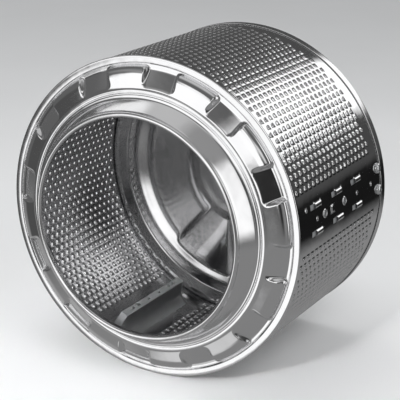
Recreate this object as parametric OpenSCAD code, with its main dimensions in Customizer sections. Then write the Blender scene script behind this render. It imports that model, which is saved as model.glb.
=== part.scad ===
// Washing machine drum: a perforated shell between two pressed end panels, with three moulded
// lifters inside and a cast three-arm spider with its shaft bolted to the back.
// The drum's axis lies along Y. The door mouth faces -Y and the shaft points along +Y.
// The origin is on the axis, in the middle of the shaft's front bearing seat.

/* [Drum] */
// Outer radius of the rolled rims
rim_r = 240; // [238:0.5:242]
// Length from the front rim to the rear rim
body_len = 297.6; // [292:0.2:304]
// Thickness of the shell's sheet
shell_t = 0.6; // [0.5:0.1:0.7]
// Thickness of the end panels' sheet
panel_t = 0.7; // [0.6:0.1:0.8]

/* [Perforation] */
// Columns of holes between two lifters
hole_columns = 38; // [10:2:38]
// Holes in each column
hole_rows = 19; // [5:1:19]
// Angle between two columns
hole_step = 2.616; // [2.5:0.001:2.65]
// Distance between the holes of a column
hole_pitch = 13.2; // [12:0.1:13.4]
// Diameter of a hole
hole_d = 4; // [3:0.1:5]
// Distance of the first hole from the front rim
hole_start = 11.6; // [10:0.1:14]
// One hole in this many is cut, evenly spread
hole_share = 3; // [1:2:3]

/* [Front panel] */
// Inner radius of the door mouth
mouth_r = 160.3; // [158:0.1:162]
// How far the mouth's lip stands in front of the rim
neck_len = 46.3; // [42:0.1:50]
// Stiffening notches in the outer ring
notch_count = 12; // [6:1:12]
// Width of a notch at its mouth
notch_w = 43; // [40:1:52]
// Width of a notch at its floor
notch_floor_w = 33; // [30:1:44]

/* [Rear panel] */
// Half angle of a raised arm between its side walls
relief_angle = 19; // [17:0.5:20]
// How far the hub dome stands in front of the panel's floor
dome_h = 27.5; // [25:0.5:29]

/* [Lifters] */
// Angle of the first lifter, from +X towards +Z
lifter_angle = 6.2; // [0:0.1:12]
// Height of a lifter above the shell
lifter_h = 40; // [34:1:44]
// Width of a lifter at its foot
lifter_w = 48; // [44:1:52]
// Width of its crest
crest_w = 12; // [10:1:16]
// Wall thickness of the moulding
lifter_t = 2.6; // [2:0.1:3]

/* [Spider and shaft] */
// Width of a spider arm at its middle
arm_w = 54; // [48:1:60]
// Radius of the hub
hub_r = 44; // [40:1:48]
// Angle between a bolt and its arm's middle line
bolt_angle = 4; // [3.6:0.1:4.4]
// Distance of the spider bolts from the front rim
bolt_z = 275; // [274:0.5:278]
// Length of a bolt under its head
bolt_len = 14; // [13:0.5:16]
// Radius of the front bearing seat
front_seat_r = 15; // [14.5:0.5:15]
// Radius of the rear bearing seat
rear_seat_r = 12.5; // [12:0.5:13]

/* [Hidden] */

$fn = 96;
STEEL = [0.80, 0.81, 0.82];
PLASTIC = [0.42, 0.43, 0.44];
CAST = [0.66, 0.67, 0.68];
DARK_STEEL = [0.50, 0.51, 0.52];
lifter_count = 3;
pitch_angle = 360 / lifter_count;
shell_r = rim_r - 1.5;
shell_in = shell_r - shell_t;
hem_r = shell_r + 0.15;
hem_len = 14.6;
eps = 0.01;
clear = 0.1;

// Stations along the axis, measured from the front rim towards the rear
ridge_z = 260;
flange_z = 268;
floor_z = 286;
sleeve_z = 322;
shoulder_z = 336;
front_seat_len = 16;
rear_seat_z = 396;
rear_seat_len = 15;
spline_z = 412;
shaft_end_z = 436;
origin_z = shoulder_z + front_seat_len / 2;

// Places a sub-part that is modelled with its axis along Z and its front rim at Z = 0
module in_frame() { translate([0, -origin_z, 0]) rotate([-90, 0, 0]) children(); }

// Turns children to an angle measured from +X towards +Z in the finished drum
module at_angle(a) { rotate([0, 0, -a]) children(); }

// Revolves an outline of radius and distance from the front rim
module revolved() { rotate_extrude($fn = 144) children(); }

function unit(v) = v / norm(v);
function right_of(v) = [v[1], -v[0]];
function along(p, i) = unit(p[i + 1] - p[i]);
function arc(c, r, a0, a1, n) = [for (i = [0:n]) let (a = a0 + (a1 - a0) * i / n)
    [c[0] + r * cos(a), c[1] + r * sin(a)]];

// One point of a path moved sideways by t, keeping the thickness round a corner
function beside(p, i, t) =
    i == 0 ? p[0] + t * right_of(along(p, 0)) :
    i == len(p) - 1 ? p[i] + t * right_of(along(p, i - 1)) :
    let (a = right_of(along(p, i - 1)), b = right_of(along(p, i)), m = unit(a + b))
    p[i] + m * t / (m * a);
function shifted(p, t) = [for (i = [0:len(p) - 1]) beside(p, i, t)];
function reversed(p) = [for (i = [len(p) - 1:-1:0]) p[i]];

// The closed outline of a sheet that follows a path, with its thickness on the path's right
function sheet(p, t) = concat(p, reversed(shifted(p, t)));

// Perforated shell
function hole_angle(k, c) = lifter_angle + pitch_angle * (k + 0.5)
    + hole_step * (c - (hole_columns - 1) / 2);
band_angle = pitch_angle - hole_step * (hole_columns - 1);
band_flats = max(2, round(band_angle / hole_step));
flat_centres = [for (k = [0:lifter_count - 1]) each concat(
    [for (c = [0:hole_columns - 1]) hole_angle(k, c)],
    [for (b = [1:band_flats - 1]) hole_angle(k, hole_columns - 1) + band_angle * b / band_flats])];

// The sheet is rolled from flat to flat, with every column of holes in the middle of one
module rolled_outline(r) {
    n = len(flat_centres);
    polygon([for (i = [0:n - 1])
        let (a = flat_centres[i], b = i < n - 1 ? flat_centres[i + 1] : flat_centres[0] + 360,
             mid = (a + b) / 2, far = r / cos((b - a) / 2))
        [far * cos(mid), -far * sin(mid)]]);
}

module rolled_sheet() {
    linear_extrude(body_len - panel_t - clear) difference() {
        rolled_outline(shell_r);
        rolled_outline(shell_in);
    }
}

// A round hole through the shell, at an angle and a distance from the front rim
module radial_hole(a, z, d) {
    at_angle(a) translate([shell_r - 4, 0, z]) rotate([0, 90, 0]) cylinder(h = 8, d = d, $fn = 24);
}

// The holes that are cut in one column, with every other column set half a pitch further back
module column_of_holes(a, odd) {
    for (i = [odd * (hole_share - 1) / 2:hole_share:hole_rows - 1])
        radial_hole(a, hole_start + hole_pitch * (i + odd / 2), hole_d);
}

lance_angle = 4.65;
lance_starts = [41.3, 110.7, 177.5];
lance_len = 34;
lance_open = 12;
lance_r = 4;
lance_depth = 1.6;
collar_zs = [84.3, 150.4];
collar_d = 9;
window_z = 109.8;
window_w = 14.6;
small_holes = [59.4, 195.3, 246.7];

// The space inside a hook pocket: a half-round channel with a domed rear end
module lance_space(r, z0, z1) {
    translate([shell_r - lance_depth, 0, z0]) {
        cylinder(h = z1 - z0 - lance_r, r = r, $fn = 32);
        translate([0, 0, z1 - z0 - lance_r]) sphere(r = r, $fn = 32);
    }
}

module lance_pocket(z) {
    difference() {
        lance_space(lance_r + shell_t, z + lance_open, z + lance_len);
        translate([shell_r - 12 - shell_t / 2, -10, z]) cube([12, 20, 50]);
    }
}

module collar(z) {
    translate([shell_r - shell_t / 2, 0, z]) rotate([0, 90, 0])
        cylinder(h = shell_t / 2 + 1, d = collar_d + 2 * shell_t + 0.8, $fn = 32);
}

// The tongue that catches the lifter: cut free on three sides and bent outwards
module catch_tongue() {
    translate([shell_r - shell_t, -window_w / 2 + 1.6, window_z + window_w / 2 + 0.5])
        rotate([0, -188, 0]) translate([-shell_t, 0, 0])
        cube([shell_t, window_w - 3.2, window_w - 1.4]);
}

module band_features() {
    for (z = lance_starts, s = [-1, 1]) at_angle(s * lance_angle) lance_pocket(z);
    for (z = collar_zs) collar(z);
}

module band_cuts() {
    for (z = lance_starts, s = [-1, 1])
        at_angle(s * lance_angle) lance_space(lance_r, z, z + lance_len);
    for (z = collar_zs) radial_hole(0, z, collar_d);
    for (z = small_holes) radial_hole(0, z, hole_d);
    for (s = [-1, 1]) radial_hole_at(s * bolt_angle);
    translate([shell_r - 4, -window_w / 2, window_z - window_w / 2]) cube([8, window_w, window_w]);
}

module drum_shell() {
    color(STEEL) in_frame() {
        difference() {
            union() {
                rolled_sheet();
                for (k = [0:lifter_count - 1]) at_angle(lifter_angle + pitch_angle * k) band_features();
            }
            for (k = [0:lifter_count - 1], c = [0:hole_columns - 1])
                column_of_holes(hole_angle(k, c), c % 2);
            for (k = [0:lifter_count - 1]) at_angle(lifter_angle + pitch_angle * k) band_cuts();
        }
        for (k = [0:lifter_count - 1]) at_angle(lifter_angle + pitch_angle * k) catch_tongue();
    }
}

// Front panel, from the rolled rim in to the mouth
ring_r = 184.4;
lip_r = 4.3;
lip_c = [mouth_r + lip_r, lip_r - neck_len];
neck_top = [181.2, -18.6];
face_path = concat(
    [[rim_r, 3.4]], arc([rim_r - 1.4, 0.6], 1.4, 0, -90, 4),
    [[230.8, -0.8], [229.9, -0.2], [229.2, 1.4], [228.2, 1.4], [227.3, 0.6],
     [224.6, -4.8], [222.6, -7.2], [219.6, -9.2], [215, -10.6],
     [197.2, -13.8], [195.6, -14.3], [194.4, -15.9], [189.8, -15.9], [189, -15.1],
     [187.4, -15.1], [186.6, -16], [ring_r, -16], [182.6, -16.8], neck_top]);
mouth_path = concat(arc(lip_c, lip_r, 10, -180, 12), [[mouth_r, lip_c[1] + 3.5]]);
front_path = concat(face_path, mouth_path);
notch_r = [200, 227.6];
notch_floor_z = 1.4;
notch_angle = 23.5;

module notch_section(grow) {
    w = notch_w / 2 + grow;
    f = notch_floor_w / 2 + grow * 0.8;
    z = notch_floor_z + grow;
    polygon([[-w - 1.5, -18], [-w, -11], [-f - 2.5, z - 2], [-f, z], [f, z], [f + 2.5, z - 2], [w, -11],
             [w + 1.5, -18]]);
}

// A notch's space, grown outwards by the sheet to make its walls
module notch(grow) {
    intersection() {
        rotate([90, 0, 90]) linear_extrude(rim_r) notch_section(grow);
        revolved() polygon([
            [notch_r[0] - grow, -18], [notch_r[0] - grow, -12], [notch_r[0] + 5 - grow, notch_floor_z - 3],
            [notch_r[0] + 8 - grow, notch_floor_z + grow], [notch_r[1] + grow, notch_floor_z + grow],
            [notch_r[1] + grow, -18]]);
    }
}

module front_panel() {
    skin = shifted(face_path, panel_t / 2);
    below = [for (i = [9:len(skin) - 9]) skin[i]];
    color(STEEL) in_frame() difference() {
        union() {
            revolved() {
                polygon(sheet(front_path, panel_t));
                translate([hem_r, -panel_t]) square([rim_r - hem_r, 4.1 + panel_t - 0.6]);
            }
            intersection() {
                for (i = [0:notch_count - 1]) at_angle(notch_angle + i * 360 / notch_count) notch(panel_t);
                revolved() polygon(concat(below, [[below[len(below) - 1][0], 6], [below[0][0], 6]]));
            }
        }
        for (i = [0:notch_count - 1]) at_angle(notch_angle + i * 360 / notch_count) notch(0);
    }
}

// Rear panel, from the rolled rim in to the hub dome
corner_r = 8;
flange_r = shell_in - clear;
step_z = 275;
dome_z = floor_z - dome_h;
dish_path = [[225, ridge_z], [217, step_z - 2], [214.5, step_z], [206, step_z + 0.6],
    [200, step_z + 1.5], [195, step_z + 3.2], [190, step_z + 5.8], [185, step_z + 8.9], [181.5, floor_z],
    [108, floor_z], [98, floor_z - 3], [85, dome_z + 10.8], [75, dome_z + 4.6], [66, dome_z + 1.2],
    [56, dome_z], [eps, dome_z]];
rear_path = concat([[flange_r, body_len]], [[flange_r, flange_z]],
    arc([flange_r - corner_r, flange_z], corner_r, -15, -90, 5), dish_path);

// An arm's raised part: a wedge whose top falls from the hub dome to the ring round the dish
arm_r = [58, 192];
arm_z = [dome_z + 2.8, step_z + 8.2];
side_run = 9;
module relief(t) {
    top = [for (i = [0:1]) arm_r[i] * tan(relief_angle) - side_run + 2 * i - t];
    foot = [for (i = [0:1]) arm_r[i] * tan(relief_angle) + side_run - t];
    hull() for (i = [0:1]) {
        translate([arm_r[i], -top[i], arm_z[i] + t]) cube([0.01, 2 * top[i], 0.01]);
        translate([arm_r[i], -foot[i], floor_z + 1]) cube([0.01, 2 * foot[i], 4 * t + 0.01]);
    }
}

// The space in front of the dish, out to the ring
module before_dish() {
    skin = [for (i = [3:14]) dish_path[i] + [0, panel_t / 2]];
    revolved() polygon(concat(skin, [[56, dome_z - 9], [206, dome_z - 9]]));
}

module rear_panel() {
    color(STEEL) in_frame() difference() {
        union() {
            revolved() {
                polygon(sheet(rear_path, panel_t));
                translate([flange_r - panel_t, body_len - panel_t])
                    square([rim_r - 0.6 - flange_r + panel_t, panel_t]);
                translate([hem_r, body_len - hem_len]) square([rim_r - hem_r, hem_len - 0.6]);
            }
            intersection() {
                for (k = [0:lifter_count - 1]) at_angle(lifter_angle + pitch_angle * k) relief(0);
                before_dish();
            }
        }
        for (k = [0:lifter_count - 1]) at_angle(lifter_angle + pitch_angle * k) {
            relief(panel_t);
            for (s = [-1, 1]) radial_hole_at(s * bolt_angle);
        }
    }
}

// A bolt's hole through the shell or the flange inside it
module radial_hole_at(a) { radial_hole(a, bolt_z, 8.4); }

// Lifter, hollow and open towards the shell
lifter_zs = [38, 232];
crest_zs = [49, 219];
crest_r = shell_in - lifter_h;
slot_zs = [75.5, 91, 119.5, 151, 181, 196];
foot_r = shell_in - clear;

// Half the lifter's width at a height between its foot at 0 and its crest at 1
function lifter_half(u) = crest_w / 2 + (lifter_w - crest_w) / 2 * pow(1 - u, 2.2);
function lifter_outline(inset) = let (
    steps = 8,
    side = [for (i = [0:steps]) let (u = i / steps)
        [shell_r + 4 - (lifter_h + 4.5 - inset) * u, lifter_half(u) - inset * 1.05]])
    concat([for (p = side) [p[0], p[1]]], [for (p = reversed(side)) [p[0], -p[1]]]);

module lifter_solid(inset) {
    z0 = lifter_zs[0] + inset;
    z1 = lifter_zs[1] - inset;
    intersection() {
        linear_extrude(body_len) polygon(lifter_outline(inset));
        rotate([90, 0, 0]) translate([0, 0, -lifter_w]) linear_extrude(2 * lifter_w)
            polygon([[shell_r + 6, z0], [shell_in, z0], [shell_in - 8, z0 + 2.5],
                     [crest_r + 5, crest_zs[0] + inset - 2.5], [crest_r - 1, crest_zs[0] + inset + 1.5],
                     [crest_r - 1, crest_zs[1] - inset],
                     [shell_in, z1], [shell_r + 6, z1]]);
    }
}

// Hooks that slide into the shell's pockets, and the two posts that centre the lifter
hook_w = 4.8;
hook_len = 10;
module lifter_hooks() {
    for (z = lance_starts, s = [-1, 1]) at_angle(s * lance_angle) translate([0, 0, z + lance_open + 1]) {
        translate([foot_r - 8, -hook_w / 2, 0]) cube([9.6, hook_w, hook_len]);
        translate([foot_r - 8, s > 0 ? -hook_w / 2 : -3.4, 0]) cube([7.5, hook_w / 2 + 3.4, hook_len]);
    }
    for (z = collar_zs) translate([crest_r + 1, 0, z]) rotate([0, 90, 0])
        cylinder(h = shell_r - crest_r - 0.4, d = collar_d - 1, $fn = 32);
}

module lifter() {
    difference() {
        intersection() {
            difference() {
                lifter_solid(0);
                lifter_solid(lifter_t);
            }
            cylinder(h = body_len, r = foot_r, $fn = 144);
        }
        for (z = slot_zs) translate([crest_r - 2, -1.2, z - 3.2]) cube([8, 2.4, 6.4]);
    }
    lifter_hooks();
}

module placed_lifter(k) {
    color(PLASTIC) in_frame() at_angle(lifter_angle + pitch_angle * k) lifter();
}
module lifter_1() { placed_lifter(0); }
module lifter_2() { placed_lifter(1); }
module lifter_3() { placed_lifter(2); }

// Spider: a hub and three ribbed arms with a bolted foot each
seat_z = step_z + 8.6;
arm_plate_t = 6;
rib_t = 6;
foot_in = flange_r - panel_t - 0.03;
foot_start_r = 226;
shaft_root_r = 19;
module spider_arm() {
    difference() {
        union() {
            translate([30, -arm_w / 2, seat_z]) cube([200, arm_w, arm_plate_t]);
            for (y = [-arm_w / 2, -rib_t / 2, arm_w / 2 - rib_t])
                rotate([90, 0, 0]) translate([0, 0, -y - rib_t]) linear_extrude(rib_t)
                    polygon([[30, seat_z + 1], [230, seat_z + 1], [230, 296], [120, 304], [30, 317]]);
            intersection() {
                translate([foot_start_r, -arm_w / 2 - 6, bolt_z - 6]) cube([20, arm_w + 12, 27]);
                cylinder(h = body_len, r = foot_in, $fn = 144);
            }
        }
        for (s = [-1, 1]) at_angle(s * bolt_angle) translate([214, 0, bolt_z])
            rotate([0, 90, 0]) cylinder(h = 40, d = 8, $fn = 32);
    }
}

module spider() {
    color(CAST) in_frame() difference() {
        union() {
            for (k = [0:lifter_count - 1]) at_angle(lifter_angle + pitch_angle * k) spider_arm();
            revolved() polygon([
                [10, dome_z + 6], [hub_r - 4, dome_z + 6], [hub_r - 4, seat_z + 1],
                [hub_r + 6, seat_z + 1],
                [hub_r + 6, 300], [hub_r, 300], [hub_r, sleeve_z - 4], [hub_r - 4, sleeve_z],
                [10, sleeve_z]]);
        }
        translate([0, 0, dome_z]) cylinder(h = 100, r = shaft_root_r, $fn = 96);
    }
}

// Shaft: stepped, splined at its end and drilled for the pulley's screw
thread_r = 4.25;
thread_len = 28;
spline_teeth = 16;
module drum_shaft() {
    color(DARK_STEEL) in_frame() difference() {
        union() {
            revolved() polygon([
                [0, dome_z + 8], [shaft_root_r - 1.5, dome_z + 8], [shaft_root_r, dome_z + 9.5],
                [shaft_root_r, sleeve_z - eps], [front_seat_r + 1, sleeve_z - eps],
                [front_seat_r + 1, shoulder_z], [front_seat_r, shoulder_z],
                [front_seat_r, shoulder_z + front_seat_len],
                [front_seat_r - 0.5, shoulder_z + front_seat_len],
                [front_seat_r - 0.5, rear_seat_z - 4], [rear_seat_r + 0.5, rear_seat_z - 2],
                [rear_seat_r + 0.5, rear_seat_z], [rear_seat_r, rear_seat_z],
                [rear_seat_r, rear_seat_z + rear_seat_len], [rear_seat_r - 1.5, spline_z], [0, spline_z]]);
            translate([0, 0, spline_z - 1]) linear_extrude(shaft_end_z - spline_z + 1)
                polygon([for (i = [0:spline_teeth - 1], s = [-0.32, -0.2, 0.2, 0.32])
                    let (a = (i + s) * 360 / spline_teeth, r = abs(s) < 0.3 ? 10 : 8.6)
                    [r * cos(a), r * sin(a)]]);
        }
        translate([0, 0, shaft_end_z - thread_len]) cylinder(h = 40, r = thread_r, $fn = 48);
    }
}

module seal_sleeve() {
    color(STEEL) in_frame() translate([0, 0, sleeve_z]) difference() {
        cylinder(h = shoulder_z - sleeve_z, r = front_seat_r + 5, $fn = 96);
        translate([0, 0, -1]) cylinder(h = 40, r = front_seat_r + 1, $fn = 96);
    }
}

// Button-head bolts that hold the spider through the shell and the panel's flange
bolt_head_r = 8;
bolt_head_h = 4.4;
module spider_bolt() {
    translate([shell_r + clear, 0, bolt_z]) rotate([0, 90, 0]) difference() {
        union() {
            revolved() polygon([[0, -bolt_len], [3.1, -bolt_len], [3.9, 0.8 - bolt_len], [3.9, 0],
                [bolt_head_r, 0], [bolt_head_r, 1], [bolt_head_r - 1, 2.8],
                [bolt_head_r - 3.2, bolt_head_h], [0, bolt_head_h]]);
        }
        translate([0, 0, 1.6]) cylinder(h = 10, r = 3.2, $fn = 6);
    }
}

module spider_bolts() {
    color(STEEL) in_frame() for (k = [0:lifter_count - 1], s = [-1, 1])
        at_angle(lifter_angle + pitch_angle * k + s * bolt_angle) spider_bolt();
}

drum_shell();
front_panel();
rear_panel();
lifter_1();
lifter_2();
lifter_3();
spider();
drum_shaft();
seal_sleeve();
spider_bolts();
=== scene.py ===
"""The washing machine drum's looks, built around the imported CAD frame."""

import math

import bmesh
import bpy
import numpy as np
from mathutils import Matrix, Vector


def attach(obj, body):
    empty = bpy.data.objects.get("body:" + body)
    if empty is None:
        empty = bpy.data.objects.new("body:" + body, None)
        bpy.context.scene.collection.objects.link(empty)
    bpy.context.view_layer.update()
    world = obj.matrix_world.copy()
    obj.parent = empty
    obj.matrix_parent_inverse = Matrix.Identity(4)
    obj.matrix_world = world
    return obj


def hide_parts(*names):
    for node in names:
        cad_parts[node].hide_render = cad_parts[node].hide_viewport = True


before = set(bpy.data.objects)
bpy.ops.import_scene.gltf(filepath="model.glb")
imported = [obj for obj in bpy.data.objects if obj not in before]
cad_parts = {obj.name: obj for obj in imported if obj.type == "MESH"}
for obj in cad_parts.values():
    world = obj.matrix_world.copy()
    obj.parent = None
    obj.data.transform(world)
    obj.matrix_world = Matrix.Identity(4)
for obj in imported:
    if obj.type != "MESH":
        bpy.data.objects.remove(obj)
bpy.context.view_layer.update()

MM = 0.001

# Sizes in millimetres, as in the part's source. Stations run from the front rim to the rear.
ORIGIN = 344.0
RIM_R = 240.0
SHELL_R = 238.5
SHELL_T = 0.6
PANEL_T = 0.7
BODY_LEN = 297.6
FLANGE_R = 237.8
LIFTERS = (6.2, 126.2, 246.2)
COLUMNS = 38
ROWS = 19
STEP = 2.616
PITCH = 13.2
FIRST_HOLE = 11.6
HOLE_R = 2.0
MOUTH_R = 160.3
NECK_LEN = 46.3
LIP_R = 4.3
NOTCHES = 12
NOTCH_ANGLE = 23.5
LANCE_ANGLE = 4.65
LANCE_STARTS = (41.3, 110.7, 177.5)
BOLT_ANGLE = 4.0
BOLT_Z = 275.0


# ---------------------------------------------------------------- placing

def drum_point(radius, station, angle):
    """A point of the drum from its radius, its distance from the front rim and its angle in degrees."""
    a = math.radians(angle)
    return (radius * math.cos(a) * MM, (station - ORIGIN) * MM, radius * math.sin(a) * MM)


def drum_points(radius, station, angle):
    """The same for whole arrays, as rows of x, y, z."""
    a = np.radians(angle)
    radius, station, a = np.broadcast_arrays(radius, station, a)
    rows = np.stack([radius * np.cos(a), station - ORIGIN, radius * np.sin(a)], -1)
    return (rows * MM).reshape(-1, 3)


def make_mesh(name, verts, faces, smooth=True, sharp=None):
    """A mesh object at the origin. Edges past the sharp angle, in degrees, keep a crease."""
    mesh = bpy.data.meshes.new(name)
    mesh.from_pydata([tuple(v) for v in verts], [], [tuple(f) for f in faces])
    mesh.validate()
    obj = bpy.data.objects.new(name, mesh)
    bpy.context.scene.collection.objects.link(obj)
    if smooth:
        shade(obj, sharp)
    return obj


def shade(obj, sharp=None):
    """Smooth shading, with a crease at every edge past the sharp angle, in degrees."""
    mesh = obj.data
    mesh.polygons.foreach_set("use_smooth", [True] * len(mesh.polygons))
    if sharp is not None:
        mesh.set_sharp_from_angle(angle=math.radians(sharp))
    mesh.update()


def outward(obj):
    """Merges doubles and turns every face outwards."""
    bm = bmesh.new()
    bm.from_mesh(obj.data)
    bmesh.ops.remove_doubles(bm, verts=bm.verts, dist=1e-6)
    bmesh.ops.recalc_face_normals(bm, faces=bm.faces)
    bm.to_mesh(obj.data)
    bm.free()


def baked(obj):
    """Turns an object's modifiers into its plain mesh."""
    view = bpy.context.evaluated_depsgraph_get()
    view.update()
    mesh = bpy.data.meshes.new_from_object(obj.evaluated_get(view))
    old = obj.data
    obj.modifiers.clear()
    obj.data = mesh
    if old.users == 0:
        bpy.data.meshes.remove(old)
    mesh.name = obj.name
    return obj


def thickened(obj, thickness):
    """Gives a one-sided sheet its thickness in millimetres, behind the side that its faces show."""
    sheet = obj.modifiers.new("thickness", "SOLIDIFY")
    sheet.thickness = thickness * MM
    sheet.offset = -1.0
    sheet.use_even_offset = True
    return baked(obj)


def finish_piece(obj, material, slot, *nodes):
    """Hands a piece to the frame: its finish, its body and the CAD nodes that it stands for."""
    obj.data.materials.clear()
    obj.data.materials.append(material)
    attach(obj, "root")
    if nodes:
        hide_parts(*nodes)
    return obj


# ---------------------------------------------------------------- outlines

def arc(centre, radius, start, end, count):
    """Points along a bend of an outline, from one angle to another, in degrees."""
    angles = np.radians(np.linspace(start, end, count + 1))
    return [(centre[0] + radius * math.cos(a), centre[1] + radius * math.sin(a)) for a in angles]


def softened(path, radius, count=4):
    """Rounds the corners of an outline with short curves."""
    points = [np.array(p, float) for p in path]
    out = [points[0]]
    for before, corner, after in zip(points, points[1:], points[2:]):
        a, b = before - corner, after - corner
        la, lb = np.linalg.norm(a), np.linalg.norm(b)
        reach = min(radius, la * 0.45, lb * 0.45)
        start, end = corner + a / la * reach, corner + b / lb * reach
        for t in np.linspace(0, 1, count + 1):
            out.append((1 - t) ** 2 * start + 2 * t * (1 - t) * corner + t ** 2 * end)
    out.append(points[-1])
    return out


def stepped(path, longest):
    """Divides an outline so that no stretch is longer than a limit, which may depend on the radius."""
    out = [np.array(path[0], float)]
    for a, b in zip(path, path[1:]):
        a, b = np.array(a, float), np.array(b, float)
        length = float(np.linalg.norm(b - a))
        if length < 1e-4:
            continue
        limit = longest(float(a[0] + b[0]) / 2) if callable(longest) else longest
        parts = max(1, math.ceil(length / limit))
        out.extend(a + (b - a) * k / parts for k in range(1, parts + 1))
    return out


def soft_step(t):
    """A share that eases in at 0 and out at 1."""
    t = np.clip(t, 0, 1)
    return t * t * (3 - 2 * t)


def soft_min(a, b, width):
    """The smaller of two heights, with a fillet of about the width where they meet."""
    h = np.clip(0.5 + 0.5 * (b - a) / width, 0, 1)
    return b + (a - b) * h - width * h * (1 - h)


def lathe_faces(rings, around, closed_pole=False):
    """Quads between rings of points, each ring going once around."""
    faces = []
    for i in range(rings - 1):
        for j in range(around):
            k = (j + 1) % around
            faces.append((i * around + j, (i + 1) * around + j, (i + 1) * around + k, i * around + k))
    if closed_pole:
        faces.append([(rings - 1) * around + j for j in range(around)][::-1])
    return faces


# ---------------------------------------------------------------- finishes

def new_material(name):
    """A material with its shader, and the place on the piece that its patterns read."""
    material = bpy.data.materials.new(name)
    material.use_nodes = True
    nodes, links = material.node_tree.nodes, material.node_tree.links
    nodes.clear()
    out = nodes.new("ShaderNodeOutputMaterial")
    shader = nodes.new("ShaderNodeBsdfPrincipled")
    links.new(shader.outputs["BSDF"], out.inputs["Surface"])
    coords = nodes.new("ShaderNodeTexCoord")
    return material, nodes, links, shader, coords.outputs["Object"]


def mapping(nodes, links, source, scale, turn=(0, 0, 0)):
    node = nodes.new("ShaderNodeMapping")
    node.inputs["Scale"].default_value = scale
    node.inputs["Rotation"].default_value = turn
    links.new(source, node.inputs["Vector"])
    return node.outputs["Vector"]


def noise(nodes, links, source, scale, detail=3.0, rough=0.55):
    node = nodes.new("ShaderNodeTexNoise")
    node.inputs["Scale"].default_value = scale
    node.inputs["Detail"].default_value = detail
    node.inputs["Roughness"].default_value = rough
    links.new(source, node.inputs["Vector"])
    return node.outputs["Fac"]


def spread(nodes, links, source, low, high, start=0.3, end=0.7):
    """Maps a pattern's value onto a range."""
    node = nodes.new("ShaderNodeMapRange")
    for name, value in (("From Min", start), ("From Max", end), ("To Min", low), ("To Max", high)):
        node.inputs[name].default_value = value
    links.new(source, node.inputs["Value"])
    return node.outputs["Result"]


def tint(nodes, links, source, dark, light):
    node = nodes.new("ShaderNodeMix")
    node.data_type = "RGBA"
    node.inputs["A"].default_value = (*dark, 1)
    node.inputs["B"].default_value = (*light, 1)
    links.new(source, node.inputs["Factor"])
    return node.outputs["Result"]


def relief(nodes, links, shader, source, strength, depth):
    """Fine grain or waves in the surface, too small to be geometry."""
    node = nodes.new("ShaderNodeBump")
    node.inputs["Strength"].default_value = strength
    node.inputs["Distance"].default_value = depth
    links.new(source, node.inputs["Height"])
    links.new(node.outputs["Normal"], shader.inputs["Normal"])


def polished_steel(name, ripple, smooth, worn, grain=None, dulled=None):
    """Bright rolled stainless steel: faint waves from the press, and a roughness that drifts a little.

    Dulled is what the roughness gains inside a radius in millimetres, and that radius."""
    material, nodes, links, shader, place = new_material(name)
    shader.inputs["Metallic"].default_value = 1.0
    broad = noise(nodes, links, place, 9.0, 2.0)
    links.new(tint(nodes, links, broad, (0.70, 0.70, 0.71), (0.82, 0.82, 0.825)), shader.inputs["Base Color"])
    along = mapping(nodes, links, place, grain or (1, 1, 1))
    fine = noise(nodes, links, along, 420.0 if grain else 60.0, 4.0)
    gloss = spread(nodes, links, fine, smooth, worn)
    if dulled:
        reach = nodes.new("ShaderNodeVectorMath")
        reach.operation = "LENGTH"
        links.new(mapping(nodes, links, place, (1, 0, 1)), reach.inputs[0])
        gain, edge, blur = dulled[0], dulled[1] * MM, 0.0001
        inside = spread(nodes, links, reach.outputs["Value"], gain, 0.0, edge - blur, edge + blur)
        total = nodes.new("ShaderNodeMath")
        links.new(gloss, total.inputs[0])
        links.new(inside, total.inputs[1])
        gloss = total.outputs["Value"]
    links.new(gloss, shader.inputs["Roughness"])
    waves = noise(nodes, links, place, 26.0, 2.0, 0.4)
    relief(nodes, links, shader, waves, 1.0, ripple)
    return material


def moulded_plastic(name, dark, light):
    """Satin plastic with the fine grain of its mould."""
    material, nodes, links, shader, place = new_material(name)
    cloud = noise(nodes, links, place, 40.0, 4.0)
    links.new(tint(nodes, links, cloud, dark, light), shader.inputs["Base Color"])
    grain = noise(nodes, links, place, 1800.0, 2.0)
    links.new(spread(nodes, links, grain, 0.34, 0.5), shader.inputs["Roughness"])
    relief(nodes, links, shader, grain, 0.35, 0.00012)
    return material


def cast_aluminium(name):
    """Bare aluminium with the sandy skin of a casting."""
    material, nodes, links, shader, place = new_material(name)
    shader.inputs["Metallic"].default_value = 1.0
    cloud = noise(nodes, links, place, 30.0, 5.0)
    links.new(tint(nodes, links, cloud, (0.42, 0.43, 0.44), (0.62, 0.63, 0.64)), shader.inputs["Base Color"])
    sand = noise(nodes, links, place, 900.0, 4.0, 0.7)
    links.new(spread(nodes, links, sand, 0.38, 0.62), shader.inputs["Roughness"])
    relief(nodes, links, shader, sand, 0.6, 0.0003)
    return material


def turned_steel(name, dark, light, rough):
    """Steel off a lathe: fine rings about the drum's axis."""
    material, nodes, links, shader, place = new_material(name)
    shader.inputs["Metallic"].default_value = 1.0
    rings = noise(nodes, links, mapping(nodes, links, place, (0.02, 1, 0.02)), 3200.0, 2.0)
    links.new(tint(nodes, links, rings, dark, light), shader.inputs["Base Color"])
    links.new(spread(nodes, links, rings, rough, rough + 0.14), shader.inputs["Roughness"])
    relief(nodes, links, shader, rings, 0.4, 0.00003)
    return material


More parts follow.
